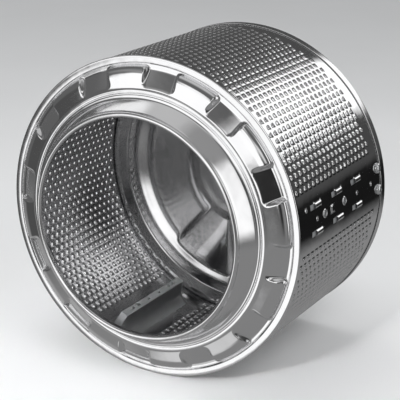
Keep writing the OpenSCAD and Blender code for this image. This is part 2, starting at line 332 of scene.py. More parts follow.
PRESSED = polished_steel("pressed_stainless", 0.00035, 0.05, 0.13, dulled=(0.05, 181.5))
DISHED = polished_steel("deep_drawn_stainless", 0.00012, 0.11, 0.17)
ROLLED = polished_steel("rolled_stainless", 0.0004, 0.06, 0.13, grain=(1, 0.04, 1),
                        dulled=(0.04, SHELL_R - SHELL_T / 2))
LIFTER_GREY = moulded_plastic("lifter_plastic", (0.21, 0.215, 0.22), (0.27, 0.275, 0.28))
CASTING = cast_aluminium("spider_casting")
GROUND = turned_steel("ground_shaft_steel", (0.42, 0.43, 0.44), (0.62, 0.63, 0.64), 0.18)
BRIGHT_ZINC = turned_steel("bolt_zinc", (0.60, 0.61, 0.62), (0.78, 0.79, 0.80), 0.16)


# ---------------------------------------------------------------- front panel

# A notch, in millimetres: half its width on the plateau, how far its side walls run inwards, the radius of
# its corners, the radii of its two ends, the radii between which the sheet may sink into it, and its ramp
# as radius and station.
NOTCH_TOP = 28.0
NOTCH_RUN = 7.0
NOTCH_CORNER = 8.0
NOTCH_ENDS = (197.5, 228.0)
NOTCH_REACH = (196.0, 229.3)
NOTCH_RAMP = ((190.0, -14.2), (196.0, -14.0), (198.5, -13.2), (221.5, 0.6), (224.5, 1.3), (232.0, 1.4))


def front_outline():
    """The panel's door side, from the hem behind the rim in to the turned edge inside the mouth."""
    rim = [(238.8, 3.2), (238.9, 4.2), (239.7, 4.3), (240, 3.6), (240, 0.8)]
    rim += arc((238.6, 0.6), 1.4, 0, -90, 5)
    face = [(230.8, -0.8), (229.9, -0.2), (229.2, 1.4), (228.2, 1.6), (227.3, 0.8), (225.0, -4.4),
            (222.8, -6.6), (220.0, -8.6), (216.6, -10.2), (212.5, -11.3), (197.2, -13.8), (195.6, -14.3),
            (194.4, -15.9), (189.8, -15.9), (189, -15.1), (187.4, -15.1), (186.6, -16), (184.4, -16),
            (182.6, -16.8), (181.2, -18.6), (168.9, -41.8)]
    lip = arc((MOUTH_R + LIP_R, LIP_R - NECK_LEN), LIP_R, 10, -180, 14)
    path = rim[:-1] + softened(rim[-1:] + face, 1.2, 2) + lip[1:] + [(MOUTH_R, -38.4)]
    return stepped(path, lambda r: 1.6 if 196 < r < 229 else 5.0)


def notch_lines():
    """The panel's lines around: close together on the notches' walls, wide apart on the plateaus."""
    wall = np.linspace(17.0, 30.0, 12)
    floor = np.linspace(-17.0, 17.0, 6)[1:-1]
    across = np.concatenate([-wall[::-1], floor, wall])
    plateau = np.linspace(0, 1, 10)[1:-1]
    return across, plateau


def notch_angles(radius):
    """Angles of all lines at one radius. The lines of a notch stay parallel, as its walls do."""
    across, plateau = notch_lines()
    reach = min(max(radius, 190.0), 232.0)
    local = np.degrees(np.arcsin(across / reach))
    pitch = 360.0 / NOTCHES
    gap = pitch - 2 * local[-1]
    sector = np.concatenate([local, local[-1] + gap * plateau])
    return np.concatenate([NOTCH_ANGLE + pitch * k + sector for k in range(NOTCHES)])


def notch_share(radius, angles):
    """How far into a notch each point lies: 0 on the plateau, 1 on the ramp between two plateaus."""
    pitch = 360.0 / NOTCHES
    off = np.radians((angles - NOTCH_ANGLE + pitch / 2) % pitch - pitch / 2)
    across = np.abs(radius * np.sin(off))
    outer = np.clip(NOTCH_CORNER - (NOTCH_ENDS[1] - radius), 0, NOTCH_CORNER)
    inner = np.clip(NOTCH_CORNER - (radius - NOTCH_ENDS[0]), 0, NOTCH_CORNER)
    widening = np.sqrt(NOTCH_CORNER ** 2 - inner ** 2) - np.sqrt(NOTCH_CORNER ** 2 - outer ** 2)
    return soft_step((NOTCH_TOP + widening - across) / NOTCH_RUN)


def front_panel():
    """The pressed ring with its notches, the cone and the lip round the mouth."""
    path = front_outline()
    points, around = [], len(notch_angles(200.0))
    for radius, station in path:
        angles = notch_angles(radius)
        stations = np.full(around, station)
        ramp = np.interp(radius, *zip(*NOTCH_RAMP))
        if NOTCH_REACH[0] < radius < NOTCH_REACH[1] and station < ramp:
            stations = station + (ramp - station) * notch_share(radius, angles)
        points.append(drum_points(radius, stations, angles))
    obj = make_mesh("front_panel_pressing", np.concatenate(points), lathe_faces(len(path), around))
    outward_sheet(obj, -1)
    thickened(obj, PANEL_T)
    shade(obj, 50)
    return finish_piece(obj, PRESSED, "polished_sheet", "front_panel")


def outward_sheet(obj, side):
    """Turns a one-sided sheet so that its middle faces point to the door (-1) or to the rear (1)."""
    mesh = obj.data
    total = sum(p.normal.y * p.area for p in mesh.polygons)
    if total * side < 0:
        mesh.flip_normals()


# ---------------------------------------------------------------- rear panel

# The dish's deepest station, and an arm: half its angle, how far its sides run out, and the line of its
# top as radius and station.
DISH_FLOOR = 286.6
ARM_HALF_ANGLE = 19.0
ARM_SIDE_RUN = 22.0
ARM_TOP = ((0, 262.0), (64, 263.0), (84, 267.0), (110, 271.6), (140, 276.6), (162, 280.2), (174, 281.8),
           (182, 282.3), (240, 282.3))


def rear_outline():
    """The panel's rear side, from the hem over the shell's end in to the middle of the hub dome."""
    hem = [(239.0, 284.4), (239.1, 283.1), (239.7, 283.0), (240, 283.7), (240, 296.2)]
    rim = arc((238.6, 296.2), 1.4, 0, 90, 5) + [(237.9, 297.6), (237.1, 296.9)]
    wall = [(237.1, 268.7)] + arc((229.8, 268.7), 7.3, -10, -90, 6)
    dish = [(225.4, 261.0), (217.7, 273.6), (214.5, 275.0), (207, 275.3), (201, 276.3), (197.5, 277.6),
            (194, 279.2), (190.5, 280.9), (187, 282.5), (183, 284.2), (179, 285.5), (173.5, DISH_FLOOR),
            (167, 286.5), (108, 281.8), (99, 279.6), (85, 269.0), (75, 263.8), (66, 260.4), (56, 259.2),
            (30, 258.9), (6, 258.8)]
    path = softened(hem, 0.6, 2) + [np.array(p) for p in rim + wall] + softened(dish, 3.0, 3)
    return stepped(path, 2.8)


def arm_height(radius, angles):
    """The surface of the three raised arms: wedges with soft sides that fall from the hub to the ring."""
    off = np.radians(np.abs((angles - LIFTERS[0] + 60.0) % 120.0 - 60.0))
    inside = radius * np.sin(math.radians(ARM_HALF_ANGLE) - off)
    top = np.interp(radius, *zip(*ARM_TOP))
    return top + (DISH_FLOOR + 5.0 - top) * (1 - soft_step(inside / ARM_SIDE_RUN + 0.5))


def rear_panel():
    """The dished panel at the back, with its raised arms and the hub dome."""
    path = rear_outline()
    angles = np.arange(0, 360, 1.2)
    points, around = [], len(angles)
    for radius, station in path:
        stations = np.full(around, float(station))
        if radius < 215 and station > 258:
            stations = soft_min(arm_height(radius, angles), stations, 2.0)
        points.append(drum_points(radius, stations, angles))
    faces = lathe_faces(len(path), around, closed_pole=True)
    obj = make_mesh("rear_panel_pressing", np.concatenate(points), faces)
    outward_sheet(obj, 1)
    thickened(obj, PANEL_T)
    shade(obj, 50)
    return finish_piece(obj, DISHED, "polished_sheet", "rear_panel")


# ---------------------------------------------------------------- perforated sheet

# One tile of sheet round a hole, and the hole's collar as rings of radius and height.
TILE_W = math.radians(STEP) * SHELL_R
HOLE_RINGS = ((3.15, 0.0), (2.65, 0.42), (2.25, 0.52), (HOLE_R, 0.36), (HOLE_R, -0.1), (2.8, -SHELL_T))


def tile_border(half_w, half_h, down=2, up=4):
    """The border of one tile, going once around, with points that its neighbours share."""
    xs, ys = np.linspace(-half_w, half_w, down + 1), np.linspace(-half_h, half_h, up + 1)
    right = [(half_w, y) for y in ys[:-1]]
    top = [(x, half_h) for x in xs[::-1][:-1]]
    left = [(-half_w, y) for y in ys[::-1][:-1]]
    bottom = [(x, -half_h) for x in xs[:-1]]
    return right + top + left + bottom


def holed_tile(border, rings):
    """Rows of points and faces of a tile with a collared hole, flat, in millimetres, Z outwards."""
    angles = [math.atan2(y, x) for x, y in border]
    rows = [[(x, y, 0.0) for x, y in border]]
    for radius, height in rings:
        rows.append([(radius * math.cos(a), radius * math.sin(a), height) for a in angles])
    rows.append([(x, y, -SHELL_T) for x, y in border])
    n = len(border)
    faces = []
    for i in range(len(rows) - 1):
        for j in range(n):
            k = (j + 1) % n
            faces.append((i * n + j, i * n + k, (i + 1) * n + k, (i + 1) * n + j))
    return [p for row in rows for p in row], faces


class Tree:
    """A small builder for Geometry Nodes."""

    def __init__(self, name):
        self.tree = bpy.data.node_groups.new(name, "GeometryNodeTree")
        self.tree.interface.new_socket("Geometry", in_out="INPUT", socket_type="NodeSocketGeometry")
        self.tree.interface.new_socket("Geometry", in_out="OUTPUT", socket_type="NodeSocketGeometry")
        self.keys = {}
        self.entry = self.tree.nodes.new("NodeGroupInput")
        self.exit = self.tree.nodes.new("NodeGroupOutput")

    def value(self, name, kind, default=None):
        socket = self.tree.interface.new_socket(name, in_out="INPUT", socket_type="NodeSocket" + kind)
        if default is not None:
            socket.default_value = default
        self.keys[name] = socket.identifier
        return self.entry.outputs[name]

    def node(self, kind, settings=None, **inputs):
        node = self.tree.nodes.new(kind)
        for key, value in (settings or {}).items():
            setattr(node, key, value)
        for key, value in inputs.items():
            socket = node.inputs[int(key[1:])] if key[0] == "i" and key[1:].isdigit() else node.inputs[key]
            if isinstance(value, bpy.types.NodeSocket):
                self.tree.links.new(value, socket)
            else:
                socket.default_value = value
        return node

    def math(self, operation, a, b=0.0):
        return self.node("ShaderNodeMath", {"operation": operation}, i0=a, i1=b).outputs[0]

    def finish(self, geometry):
        self.tree.links.new(geometry, self.exit.inputs["Geometry"])

    def apply(self, obj, **values):
        modifier = obj.modifiers.new(self.tree.name, "NODES")
        modifier.node_group = self.tree
        for name, value in values.items():
            modifier[self.keys[name.replace("_", " ")]] = value
        return modifier


def rolled_field_tree():
    """Lays tiles in staggered columns, joins them and rolls the sheet about the drum's axis."""
    t = Tree("rolled perforation")
    columns = t.value("columns", "Int", COLUMNS)
    rows = t.value("rows", "Int", ROWS)
    width = t.value("tile width", "Float", TILE_W)
    pitch = t.value("tile height", "Float", PITCH)
    start = t.value("first row", "Float", FIRST_HOLE)
    radius = t.value("radius", "Float", SHELL_R)
    begin = t.value("first angle", "Float", 0.0)
    tile = t.value("tile", "Object")
    finish = t.value("finish", "Material")
    count = t.math("MULTIPLY", columns, rows)
    line = t.node("GeometryNodeMeshLine", Count=count)
    index = t.node("GeometryNodeInputIndex").outputs[0]
    column = t.math("FLOOR", t.math("DIVIDE", index, rows))
    row = t.math("SUBTRACT", index, t.math("MULTIPLY", column, rows))
    odd = t.math("MODULO", column, 2.0)
    x = t.math("MULTIPLY", column, width)
    y = t.math("ADD", start, t.math("MULTIPLY", t.math("ADD", row, t.math("MULTIPLY", odd, 0.5)), pitch))
    spot = t.node("ShaderNodeCombineXYZ", X=x, Y=y).outputs[0]
    placed = t.node("GeometryNodeSetPosition", Geometry=line.outputs[0], Position=spot)
    piece = t.node("GeometryNodeObjectInfo", Object=tile)
    spread_out = t.node("GeometryNodeInstanceOnPoints", Points=placed.outputs[0],
                        Instance=piece.outputs["Geometry"])
    real = t.node("GeometryNodeRealizeInstances", Geometry=spread_out.outputs[0])
    joined = t.node("GeometryNodeMergeByDistance", Geometry=real.outputs[0], Distance=0.01)
    here = t.node("ShaderNodeSeparateXYZ", Vector=t.node("GeometryNodeInputPosition").outputs[0])
    angle = t.math("ADD", begin, t.math("DIVIDE", here.outputs["X"], radius))
    reach = t.math("MULTIPLY", t.math("ADD", radius, here.outputs["Z"]), MM)
    across = t.math("MULTIPLY", reach, t.math("COSINE", angle))
    height = t.math("MULTIPLY", reach, t.math("SINE", angle))
    deep = t.math("MULTIPLY", t.math("SUBTRACT", here.outputs["Y"], ORIGIN), MM)
    rolled = t.node("ShaderNodeCombineXYZ", X=across, Y=deep, Z=height).outputs[0]
    wrapped = t.node("GeometryNodeSetPosition", Geometry=joined.outputs[0], Position=rolled)
    painted = t.node("GeometryNodeSetMaterial", Geometry=wrapped.outputs[0], Material=finish)
    t.finish(painted.outputs[0])
    return t


def edge_strips(first_angle):
    """The plain sheet before the first holes and behind the last, with the columns' half steps."""
    verts, faces, find = [], [], {}

    def corner(x, y, z):
        key = (round(x, 3), round(y, 3), z)
        if key not in find:
            find[key] = len(verts)
            verts.append(drum_point(SHELL_R + z, y, math.degrees(first_angle + x / SHELL_R)))
        return find[key]

    front, rear = FIRST_HOLE - PITCH / 2, FIRST_HOLE + PITCH * (ROWS - 0.5)
    for c in range(COLUMNS):
        odd = c % 2
        front_ys = [0.0, front] + ([front + PITCH / 4, front + PITCH / 2] if odd else [])
        back_ys = ([rear, rear + PITCH / 4] if not odd else []) + [rear + PITCH / 2, 280.0, BODY_LEN - 1.0]
        for ys in (front_ys, back_ys):
            for half in (-1, 0):
                xa, xb = (c + half * 0.5) * TILE_W, (c + half * 0.5 + 0.5) * TILE_W
                for ya, yb in zip(ys, ys[1:]):
                    faces.append([corner(xa, ya, 0), corner(xb, ya, 0), corner(xb, yb, 0), corner(xa, yb, 0)])
                    inner = [corner(xa, ya, -SHELL_T), corner(xa, yb, -SHELL_T)]
                    faces.append(inner + [corner(xb, yb, -SHELL_T), corner(xb, ya, -SHELL_T)])
    return verts, faces


def closed_sheet(obj):
    """Joins the outer and inner skins of a sheet along its open edges."""
    bm = bmesh.new()
    bm.from_mesh(obj.data)
    bmesh.ops.remove_doubles(bm, verts=bm.verts, dist=2e-5)
    bm.verts.ensure_lookup_table()
    ratio = (SHELL_R - SHELL_T) / SHELL_R
    open_edges = [e for e in bm.edges if e.is_boundary]
    inner = {}
    for e in open_edges:
        for v in e.verts:
            inner[(round(v.co.x, 5), round(v.co.y, 5), round(v.co.z, 5))] = v

    def partner(v):
        for dx in (0, 1e-5, -1e-5):
            for dz in (0, 1e-5, -1e-5):
                key = (round(v.co.x * ratio + dx, 5), round(v.co.y, 5), round(v.co.z * ratio + dz, 5))
                if key in inner:
                    return inner[key]
        return None

    for e in open_edges:
        a, b = e.verts
        if math.hypot(a.co.x, a.co.z) < (SHELL_R - SHELL_T / 2) * MM:
            continue
        c, d = partner(a), partner(b)
        if c and d and len({a, b, c, d}) == 4:
            try:
                bm.faces.new((a, b, d, c))
            except ValueError:
                pass
    bmesh.ops.recalc_face_normals(bm, faces=bm.faces)
    bm.to_mesh(obj.data)
    bm.free()


def perforated_fields():
    """The three perforated fields between the bands, each with its plain margins."""
    verts, faces = holed_tile(tile_border(TILE_W / 2, PITCH / 2), HOLE_RINGS)
    tile = make_mesh("hole_tile", verts, faces, smooth=False)
    tree = rolled_field_tree()
    for k, lifter in enumerate(LIFTERS):
        first = math.radians(lifter + 60.0 - STEP * (COLUMNS - 1) / 2)
        seed = make_mesh("field_seed", [], [], smooth=False)
        seed.name = f"perforated_field_{k + 1}"
        tree.apply(seed, columns=COLUMNS, rows=ROWS, tile_width=TILE_W, tile_height=PITCH,
                   first_row=FIRST_HOLE, radius=SHELL_R, first_angle=first, tile=tile, finish=ROLLED)
        baked(seed)
        bm = bmesh.new()
        bm.from_mesh(seed.data)
        strip = bpy.data.meshes.new("strip")
        strip_verts, strip_faces = edge_strips(first)
        strip.from_pydata(strip_verts, [], strip_faces)
        bm.from_mesh(strip)
        bm.to_mesh(seed.data)
        bm.free()
        bpy.data.meshes.remove(strip)
        closed_sheet(seed)
        shade(seed, 60)
        finish_piece(seed, ROLLED, "polished_sheet", *(["drum_shell"] if k == 0 else []))
    bpy.data.objects.remove(tile)


# ---------------------------------------------------------------- bands with the hook pockets

BAND_HALF = math.radians(120.0 - STEP * (COLUMNS - 1) - STEP) * SHELL_R / 2
# A hook's pocket: half its width, the length of its slot, its whole length and how far it stands out.
LANCE_HALF = 4.0
LANCE_OPEN = 12.0
LANCE_LEN = 34.0
LANCE_RISE = 3.2
COLLAR_RINGS = ((6.6, 0.0), (5.9, 0.9), (5.2, 1.0), (4.7, 0.7), (4.7, -1.4), (5.4, -SHELL_T))
BOLT_RINGS = ((4.6, 0.0), (4.2, -0.1), (4.2, -0.4), (4.2, -0.5), (4.2, -0.55), (4.4, -SHELL_T))
# The window of the tongue, across and along, and the gap round the tongue in it.
TONGUE = (-7.3, 7.3, 102.4, 117.1)
TONGUE_GAP = 1.5


def band_holes():
    """Round holes of a band: place across, station, half tile and the ring profile."""
    bolt = math.radians(BOLT_ANGLE) * SHELL_R
    small = [(0.0, z, 4.5, HOLE_RINGS) for z in (59.4, 195.3, 246.7)]
    large = [(0.0, z, 8.0, COLLAR_RINGS) for z in (84.3, 150.4)]
    bolts = [(s * bolt, BOLT_Z, 6.5, BOLT_RINGS) for s in (-1, 1)]
    extra = [(math.radians(4.7) * SHELL_R, 28.0, 4.5, HOLE_RINGS)]
    return small + large + bolts + extra


def grid_lines(low, high, keep, longest):
    """Line places from low to high that pass through every place in keep."""
    marks = sorted({round(v, 3) for v in keep if low < v < high} | {low, high})
    clean = [marks[0]]
    for m in marks[1:]:
        if m - clean[-1] > 0.35 or m == high:
            clean.append(m)
    out = [clean[0]]
    for a, b in zip(clean, clean[1:]):
        parts = max(1, math.ceil((b - a) / longest))
        out.extend(a + (b - a) * k / parts for k in range(1, parts + 1))
    return out


def on_tongue(u, z):
    """Whether a place lies between the tongue's sides and behind its free end."""
    return TONGUE[0] + TONGUE_GAP < u < TONGUE[1] - TONGUE_GAP and z > TONGUE[2] + TONGUE_GAP


def pocket_height(u, z):
    """How far the sheet stands out at a place of the band, over the hooks' pockets and the tongue."""
    rise = 0.0
    for side in (-1, 1):
        middle = side * math.radians(LANCE_ANGLE) * SHELL_R
        across = abs(u - middle) / LANCE_HALF
        if across >= 1:
            continue
        for start in LANCE_STARTS:
            along = z - (start + LANCE_OPEN)
            length = LANCE_LEN - LANCE_OPEN
            if -0.01 <= along <= length:
                end = 1.0 if along < length - 5 else math.sqrt(max(0.0, 1 - ((along - length + 5) / 5) ** 2))
                rise = max(rise, LANCE_RISE * math.sqrt(1 - across ** 2) ** 0.8 * end)
    if on_tongue(u, z) and z <= TONGUE[3]:
        rise = max(rise, 2.2 * (TONGUE[3] - z) / (TONGUE[3] - TONGUE[2]))
    return rise


def band_sheet(lifter, number):
    """One plain band of the shell with its slots, pockets and holes, closed at its edges."""
    holes = band_holes()
    lance = math.radians(LANCE_ANGLE) * SHELL_R
    keep_u = [s * lance + d for s in (-1, 1) for d in (-LANCE_HALF, -3, -2, 0, 2, 3, LANCE_HALF)]
    keep_u += [TONGUE[0], TONGUE[0] + TONGUE_GAP, TONGUE[1] - TONGUE_GAP, TONGUE[1]]
    keep_z = [s + d for s in LANCE_STARTS for d in (0, LANCE_OPEN, LANCE_LEN - 5, LANCE_LEN - 2, LANCE_LEN)]
    keep_z += [TONGUE[2], TONGUE[2] + TONGUE_GAP, TONGUE[3]]
    for u, z, half, _ in holes:
        keep_u += [u - half, u + half]
        keep_z += [z - half, z + half]
    front, back = FIRST_HOLE - PITCH / 2, FIRST_HOLE + PITCH * (ROWS - 0.5)
    keep_z += list(np.arange(front, back + PITCH / 2 + 0.1, PITCH / 4)) + [280.0]
    us = grid_lines(-BAND_HALF, BAND_HALF, keep_u, 2.4)
    zs = grid_lines(0.0, BODY_LEN - 1.0, keep_z, 2.6)
    verts, faces, find = [], [], {}

    def corner(i, j):
        if (i, j) not in find:
            find[(i, j)] = len(verts)
            verts.append((us[i], zs[j], pocket_height(us[i], zs[j])))
        return find[(i, j)]

    def cut(u, z):
        if any(abs(u - a) < half and abs(z - b) < half for a, b, half, _ in holes):
            return True
        if any(abs(abs(u) - lance) < LANCE_HALF and s < z < s + LANCE_OPEN for s in LANCE_STARTS):
            return True
        in_window = TONGUE[0] < u < TONGUE[1] and TONGUE[2] < z < TONGUE[3]
        return in_window and not on_tongue(u, z)

    for i in range(len(us) - 1):
        for j in range(len(zs) - 1):
            if not cut((us[i] + us[i + 1]) / 2, (zs[j] + zs[j + 1]) / 2):
                faces.append((corner(i, j), corner(i + 1, j), corner(i + 1, j + 1), corner(i, j + 1)))
    flat = make_mesh("band_flat", verts, faces)
    sheet = thickened(flat, SHELL_T / MM)
    sheet.name = f"lifter_band_{number}"
    bm = bmesh.new()
    bm.from_mesh(sheet.data)
    for u, z, half, rings in holes:
        border = [(a - u, -half) for a in us if u - half - 0.01 <= a <= u + half + 0.01]
        side = [b - z for b in zs if z - half - 0.01 <= b <= z + half + 0.01]
        loop = border[:-1] + [(half, b) for b in side[:-1]]
        loop += [(a, half) for a, _ in border[::-1][:-1]] + [(-half, b) for b in side[::-1][:-1]]
        points, quads = holed_tile(loop, rings)
        made = [bm.verts.new((x + u, y + z, h)) for x, y, h in points]
        for quad in quads:
            bm.faces.new([made[q] for q in quad])
    bmesh.ops.remove_doubles(bm, verts=bm.verts, dist=0.02)
    walls = [f for f in bm.faces if sum(e.is_boundary for e in f.edges) == 0 and len(f.verts) == 4]
    bm.normal_update()
    hidden = [f for f in walls if all(
        any(abs(abs(v.co.x - u) - half) < 0.03 and abs(v.co.y - z) < half + 0.03
            or abs(abs(v.co.y - z) - half) < 0.03 and abs(v.co.x - u) < half + 0.03
            for u, z, half, _ in holes) for v in f.verts) and abs(f.normal.z) < 0.3]
    bmesh.ops.delete(bm, geom=hidden, context="FACES_ONLY")
    bm.to_mesh(sheet.data)
    bm.free()
    roll_up(sheet, lifter)
    outward(sheet)
    shade(sheet, 50)
    return finish_piece(sheet, ROLLED, "polished_sheet")


def roll_up(obj, middle):
    """Rolls a flat sheet of arc length, station and height about the drum's axis."""
    mesh = obj.data
    flat = np.empty(len(mesh.vertices) * 3)
    mesh.vertices.foreach_get("co", flat)
    flat = flat.reshape(-1, 3)
    angle = middle + np.degrees(flat[:, 0] / SHELL_R)
    mesh.vertices.foreach_set("co", drum_points(SHELL_R + flat[:, 2], flat[:, 1], angle).reshape(-1))
    mesh.update()


# ---------------------------------------------------------------- lifters

# A lifter: its ends as stations, its height over the shell, half its width at the foot and at the crest,
# and the slots in its crest with half their length and their depth.
LIFTER_ENDS = (38.0, 232.0)
LIFTER_H = 40.0
LIFTER_HALF = 24.0
CREST_HALF = 6.0
SLOT_HALF = 3.2
SLOT_DEPTH = 5.0
SLOTS = (75.5, 91.0, 119.5, 151.0, 181.0, 196.0)


def lifter_section(station):
    """Half of the lifter's outline at a station, from the foot up to the middle of the crest."""
    front = min(1.0, max(0.0, (station - LIFTER_ENDS[0]) / 11.0))
    back = min(1.0, max(0.0, (LIFTER_ENDS[1] - station) / 14.0))
    top = LIFTER_H * (front ** 0.55) * (back ** 0.7)
    side = LIFTER_HALF * (0.72 + 0.28 * min(1, front * 3)) * (0.8 + 0.2 * min(1, back * 2))
    out = []
    for t in np.linspace(0, 1, 13):
        half = CREST_HALF + (side - CREST_HALF) * (1 - t) ** 2.2
        out.append((half, top * t))
    out += [(CREST_HALF - 0.3, top), (CREST_HALF - 1.1, top + 0.45), (CREST_HALF * 0.5, top + 0.6)]
    return out


def lifter(number, angle):
    """One moulded lifter with its fluted slots, between the mouth and the rear panel."""
    stations = [LIFTER_ENDS[0], 38.6, 39.6, 41, 43, 45, 47, 49, 51, 54] + list(np.arange(58, 214, 3.0))
    stations += [216, 218, 220, 222, 224, 226, 228, 230, 231.3, LIFTER_ENDS[1]]
    for slot in SLOTS:
        stations += [slot - 3.4, slot - 3.0, slot + 3.0, slot + 3.4]
    stations = sorted(stations)
    kept = [stations[0]]
    for s in stations[1:]:
        if s - kept[-1] > 0.3:
            kept.append(s)
    rows = []
    for station in kept:
        half = lifter_section(station)
        crest = half[-1][1]
        row = half + [(2.0, crest), (1.6, crest - slot_depth(station))]
        row += [(-w, h) for w, h in row[::-1]]
        rows.append(row)
    n = len(rows[0])
    points = []
    for station, row in zip(kept, rows):
        for w, h in row:
            base = math.sqrt(FLANGE_R ** 2 - w ** 2) - FLANGE_R
            drop = base * max(0.0, 1 - h / 20.0)
            points.append((FLANGE_R - h + drop, w, station))
    faces = []
    for i in range(len(rows) - 1):
        for j in range(n - 1):
            faces.append((i * n + j, (i + 1) * n + j, (i + 1) * n + j + 1, i * n + j + 1))
    faces.append(list(range(n))[::-1])
    faces.append([(len(rows) - 1) * n + j for j in range(n)])
    turn = math.radians(angle)
    cos, sin = math.cos(turn), math.sin(turn)
    placed = [((x * cos - w * sin) * MM, (s - ORIGIN) * MM, (x * sin + w * cos) * MM) for x, w, s in points]
    for i in range(len(rows) - 1):
        faces.append((i * n, i * n + n - 1, (i + 1) * n + n - 1, (i + 1) * n))
    obj = make_mesh(f"lifter_moulding_{number}", placed, faces)
    outward(obj)
    shade(obj, 40)
    return finish_piece(obj, LIFTER_GREY, "grey_plastic", f"lifter_{number}")


def slot_depth(station):
    """How deep the groove in the crest is at a station: open at the slots and closed between them."""
    return SLOT_DEPTH if any(abs(station - slot) < SLOT_HALF for slot in SLOTS) else 0.0


# ---------------------------------------------------------------- bolts and the casting

def bolt_tree():
    """Puts a bolt on every point of a mesh, with its axis along the point's own direction."""
    t = Tree("radial bolts")
    bolt = t.value("bolt", "Object")
    finish = t.value("finish", "Material")
    place = t.node("GeometryNodeInputPosition").outputs[0]
    flat = t.node("ShaderNodeSeparateXYZ", Vector=place)
    out = t.node("ShaderNodeCombineXYZ", X=flat.outputs["X"], Z=flat.outputs["Z"]).outputs[0]
    turn = t.node("FunctionNodeAlignRotationToVector", {"axis": "Z"}, Vector=out).outputs[0]
    piece = t.node("GeometryNodeObjectInfo", Object=bolt)
    spots = t.node("GeometryNodeInstanceOnPoints", Points=t.entry.outputs["Geometry"],
                   Instance=piece.outputs["Geometry"], Rotation=turn)
    real = t.node("GeometryNodeRealizeInstances", Geometry=spots.outputs[0])
    painted = t.node("GeometryNodeSetMaterial", Geometry=real.outputs[0], Material=finish)
    t.finish(painted.outputs[0])
    return t


def button_bolt():
    """A button-head bolt with a six-sided socket, standing on Z."""
    around = 36
    outline = [(0.0, -14), (3.1, -14), (3.9, -13.2), (3.9, -0.4), (3.9, 0.0), (7.6, 0.0), (8.0, 0.35),
               (7.95, 1.1), (7.4, 2.3), (6.4, 3.4), (5.2, 4.1), (4.2, 4.4)]
    rows = []
    for radius, height in outline:
        rows.append([(max(radius, 0.4) * math.cos(a), max(radius, 0.4) * math.sin(a), height)
                     for a in np.linspace(0, 2 * math.pi, around, endpoint=False)])
    for inset, height in ((1.0, 4.35), (0.97, 4.1), (0.95, 1.7)):
        row = []
        for a in np.linspace(0, 2 * math.pi, around, endpoint=False):
            local = (a + math.pi / 6) % (math.pi / 3) - math.pi / 6
            reach = 2.9 / math.cos(local) * inset
            row.append((reach * math.cos(a), reach * math.sin(a), height))
        rows.append(row)
    points = [tuple(c * MM for c in p) for row in rows for p in row]
    faces = lathe_faces(len(rows), around, closed_pole=True)
    faces.append(list(range(around)))
    obj = make_mesh("bolt_shape", points, faces)
    outward(obj)
    shade(obj, 35)
    return obj


def spider_bolts():
    """A pair of bolts through the shell at each lifter, into the ends of the spider's arms."""
    shape = button_bolt()
    spots = [drum_point(SHELL_R + 0.1, BOLT_Z, a + s * BOLT_ANGLE) for a in LIFTERS for s in (-1, 1)]
    obj = make_mesh("button_bolts", spots, [], smooth=False)
    bolt_tree().apply(obj, bolt=shape, finish=BRIGHT_ZINC)
    baked(obj)
    bpy.data.objects.remove(shape)
    shade(obj, 35)
    return finish_piece(obj, BRIGHT_ZINC, "bolt_steel", "spider_bolts")


def softened_copy(node, name, width, material, slot):
    """A copy of a CAD node with its doubles merged and its edges rounded, as a casting's are."""
    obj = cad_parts[node].copy()
    obj.data = obj.data.copy()
    obj.name = name
    obj.parent = None
    bpy.context.scene.collection.objects.link(obj)
    outward(obj)
    round_off = obj.modifiers.new("edges", "BEVEL")
    round_off.width = width * MM
    round_off.segments = 2
    round_off.limit_method = "ANGLE"
    round_off.angle_limit = math.radians(40)
    round_off.use_clamp_overlap = True
    flat = bmesh.new()
    flat.from_mesh(obj.data)
    bmesh.ops.dissolve_limit(flat, angle_limit=math.radians(1.0), verts=flat.verts, edges=flat.edges)
    flat.to_mesh(obj.data)
    flat.free()
    baked(obj)
    shade(obj, 35)
    return finish_piece(obj, material, slot, node)


def carried_over(node, material):
    """A CAD node that keeps its own shape and gets a finish."""
    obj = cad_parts[node]
    for slot in obj.material_slots:
        slot.material = material


# ---------------------------------------------------------------- studio

def floor():
    """The pale floor with the drum's shadow. The metal mirrors the boards below it and not the floor."""
    size = 6.0
    level = -RIM_R * MM - 0.0002
    verts = [(-size, -size, level), (size, -size, level), (size, size, level), (-size, size, level)]
    obj = make_mesh("studio_floor", verts, [(0, 1, 2, 3)], smooth=False)
    material, nodes, links, shader, place = new_material("pale_floor")
    cloud = noise(nodes, links, place, 3.0, 2.0)
    pale = tint(nodes, links, cloud, (0.80, 0.805, 0.81), (0.84, 0.845, 0.85))
    links.new(pale, shader.inputs["Base Color"])
    shader.inputs["Roughness"].default_value = 0.35
    out = next(n for n in nodes if n.bl_idname == "ShaderNodeOutputMaterial")
    path = nodes.new("ShaderNodeLightPath")
    clear = nodes.new("ShaderNodeBsdfTransparent")
    swap = nodes.new("ShaderNodeMixShader")
    links.new(path.outputs["Is Glossy Ray"], swap.inputs["Fac"])
    links.new(shader.outputs["BSDF"], swap.inputs[1])
    links.new(clear.outputs["BSDF"], swap.inputs[2])
    links.new(swap.outputs["Shader"], out.inputs["Surface"])
    obj.data.materials.append(material)


